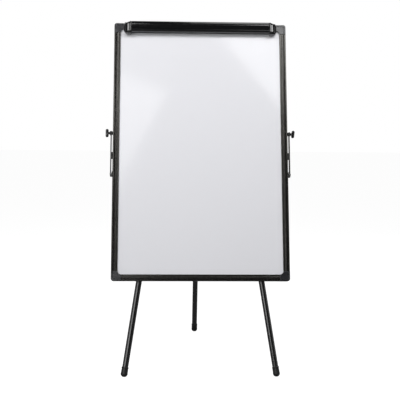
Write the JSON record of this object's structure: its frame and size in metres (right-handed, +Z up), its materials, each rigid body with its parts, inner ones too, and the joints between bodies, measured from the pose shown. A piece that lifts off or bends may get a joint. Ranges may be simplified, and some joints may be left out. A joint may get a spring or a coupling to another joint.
{
  "type": "flipchart easel",
  "caption": "Framed whiteboard with a sprung pad clamp and swing-out side arms on a folding telescopic tripod stand.",
  "frame": {"origin": "on the floor, at the middle of the easel's bounding box seen from above", "axes": "+X to the reader's right, +Y from the reader to the back, +Z up"},
  "size_m": [0.6486, 0.6816, 1.1921],
  "materials": {
    "white_enamel": "high-gloss white enamelled steel writing surface",
    "grey_backing": "dull grey sheet over fibreboard",
    "black_aluminium": "gloss black anodised extrusion",
    "grey_black_plastic": "fine-textured moulded plastic",
    "gloss_black_plastic": "polished moulded plastic",
    "black_plastic": "satin moulded plastic",
    "black_paint": "black powder coat on steel",
    "black_coated_tube": "black coated aluminium tube",
    "zinc_steel": "zinc-plated steel",
    "black_rubber": "matt black rubber"
  },
  "bodies": {
    "board": {"arm_bracket_left": "black_plastic", "arm_bracket_right": "black_plastic", "arm_hinge_pin_left": "zinc_steel", "arm_hinge_pin_right": "zinc_steel", "arm_lock_boss_left": "black_plastic", "arm_lock_boss_right": "black_plastic", "arm_rest_block_left": "black_rubber", "arm_rest_block_right": "black_rubber", "board_core": "grey_backing", "clamp_base_rail": "black_paint", "clamp_cheek_left": "gloss_black_plastic", "clamp_cheek_right": "gloss_black_plastic", "clamp_pivot_pin_left": "zinc_steel", "clamp_pivot_pin_right": "zinc_steel", "clamp_spring_left": "zinc_steel", "clamp_spring_right": "zinc_steel", "corner_cap_bottom_left": "grey_black_plastic", "corner_cap_bottom_right": "grey_black_plastic", "corner_cap_top_left": "grey_black_plastic", "corner_cap_top_right": "grey_black_plastic", "frame_rail_bottom": "black_aluminium", "frame_rail_left": "black_aluminium", "frame_rail_right": "black_aluminium", "frame_rail_top": "black_aluminium", "front_pivot_bolt_left": "zinc_steel", "front_pivot_bolt_right": "zinc_steel", "head_channel": "black_paint", "leg_rest_left": "black_rubber", "leg_rest_right": "black_rubber", "rear_hinge_bracket": "black_paint", "rear_pivot_bolt": "zinc_steel", "whiteboard_sheet": "white_enamel"},
    "clamp": {"clamp_bar": "gloss_black_plastic", "clamp_grip_strip": "black_rubber"},
    "pad_hook_left": {"pad_hook_left": "gloss_black_plastic"},
    "pad_hook_right": {"pad_hook_right": "gloss_black_plastic"},
    "front_leg_left_upper": {"front_leg_left_knuckle": "black_plastic", "front_leg_left_upper_tube": "black_coated_tube", "front_leg_left_collar": "black_plastic"},
    "front_leg_left_lower": {"front_leg_left_lower_tube": "black_coated_tube", "front_leg_left_foot": "black_rubber"},
    "front_leg_left_latch": {"front_leg_left_lever": "gloss_black_plastic"},
    "front_leg_right_upper": {"front_leg_right_knuckle": "black_plastic", "front_leg_right_upper_tube": "black_coated_tube", "front_leg_right_collar": "black_plastic"},
    "front_leg_right_lower": {"front_leg_right_lower_tube": "black_coated_tube", "front_leg_right_foot": "black_rubber"},
    "front_leg_right_latch": {"front_leg_right_lever": "gloss_black_plastic"},
    "rear_leg_upper": {"rear_leg_knuckle": "black_plastic", "rear_leg_upper_tube": "black_coated_tube", "rear_leg_collar": "black_plastic"},
    "rear_leg_lower": {"rear_leg_lower_tube": "black_coated_tube", "rear_leg_foot": "black_rubber"},
    "rear_leg_latch": {"rear_leg_lever": "gloss_black_plastic"},
    "side_arm_left": {"side_arm_left": "black_paint"},
    "wing_screw_left": {"wing_screw_left": "gloss_black_plastic"},
    "side_arm_right": {"side_arm_right": "black_paint"},
    "wing_screw_right": {"wing_screw_right": "gloss_black_plastic"}
  },
  "joints": [
    {"name": "clamp_hinge", "type": "hinge", "parent": "board", "child": "clamp", "pos_m": [0, -0.07597, 1.17956], "axis": [-1, 0, 0], "range_deg": [0, 40], "stiffness_Nm_per_rad": 0.6, "springref_deg": -28.65, "deforming": ["clamp_spring_left", "clamp_spring_right"]},
    {"name": "pad_hook_left_slide", "type": "slide", "parent": "board", "child": "pad_hook_left", "axis": [-1, 0, 0], "range_m": [-0.06, 0.065]},
    {"name": "pad_hook_right_slide", "type": "slide", "parent": "board", "child": "pad_hook_right", "axis": [1, 0, 0], "range_m": [-0.06, 0.065]},
    {"name": "front_leg_left_fold", "type": "hinge", "parent": "board", "child": "front_leg_left_upper", "pos_m": [-0.084, -0.05352, 1.09909], "axis": [0, -0.9694, 0.2453], "range_deg": [0, 8.5]},
    {"name": "front_leg_left_extend", "type": "slide", "parent": "front_leg_left_upper", "child": "front_leg_left_lower", "axis": [-0.1483, -0.2426, -0.9587], "range_m": [-0.12, 0.46]},
    {"name": "front_leg_left_lever_turn", "type": "hinge", "parent": "front_leg_left_upper", "child": "front_leg_left_latch", "pos_m": [-0.19674, -0.21608, 0.36495], "axis": [-0.9889, 0.0364, 0.1438], "range_deg": [0, 110]},
    {"name": "front_leg_right_fold", "type": "hinge", "parent": "board", "child": "front_leg_right_upper", "pos_m": [0.084, -0.05352, 1.09909], "axis": [0, 0.9694, -0.2453], "range_deg": [0, 8.5]},
    {"name": "front_leg_right_extend", "type": "slide", "parent": "front_leg_right_upper", "child": "front_leg_right_lower", "axis": [0.1483, -0.2426, -0.9587], "range_m": [-0.12, 0.46]},
    {"name": "front_leg_right_lever_turn", "type": "hinge", "parent": "front_leg_right_upper", "child": "front_leg_right_latch", "pos_m": [0.19674, -0.21608, 0.36495], "axis": [-0.9889, -0.0364, -0.1438], "range_deg": [0, 110]},
    {"name": "rear_leg_fold", "type": "hinge", "parent": "board", "child": "rear_leg_upper", "pos_m": [0, -0.02056, 1.09075], "axis": [-1, 0, 0], "range_deg": [0, 31.7]},
    {"name": "rear_leg_extend", "type": "slide", "parent": "rear_leg_upper", "child": "rear_leg_lower", "axis": [0, 0.3078, -0.9514], "range_m": [-0.12, 0.46]},
    {"name": "rear_leg_lever_turn", "type": "hinge", "parent": "rear_leg_upper", "child": "rear_leg_latch", "pos_m": [0, 0.23479, 0.37458], "axis": [-1, 0, 0], "range_deg": [0, 110]},
    {"name": "side_arm_left_swing", "type": "hinge", "parent": "board", "child": "side_arm_left", "pos_m": [-0.3057, -0.18783, 0.66209], "axis": [0, -0.9694, 0.2453], "range_deg": [0, 90]},
    {"name": "wing_screw_left_turn", "type": "hinge", "parent": "side_arm_left", "child": "wing_screw_left", "pos_m": [-0.3072, -0.1526, 0.8013], "axis": [-1, 0, 0], "continuous": true},
    {"name": "side_arm_right_swing", "type": "hinge", "parent": "board", "child": "side_arm_right", "pos_m": [0.3057, -0.18783, 0.66209], "axis": [0, 0.9694, -0.2453], "range_deg": [0, 90]},
    {"name": "wing_screw_right_turn", "type": "hinge", "parent": "side_arm_right", "child": "wing_screw_right", "pos_m": [0.3072, -0.1526, 0.8013], "axis": [1, 0, 0], "continuous": true}
  ]
}
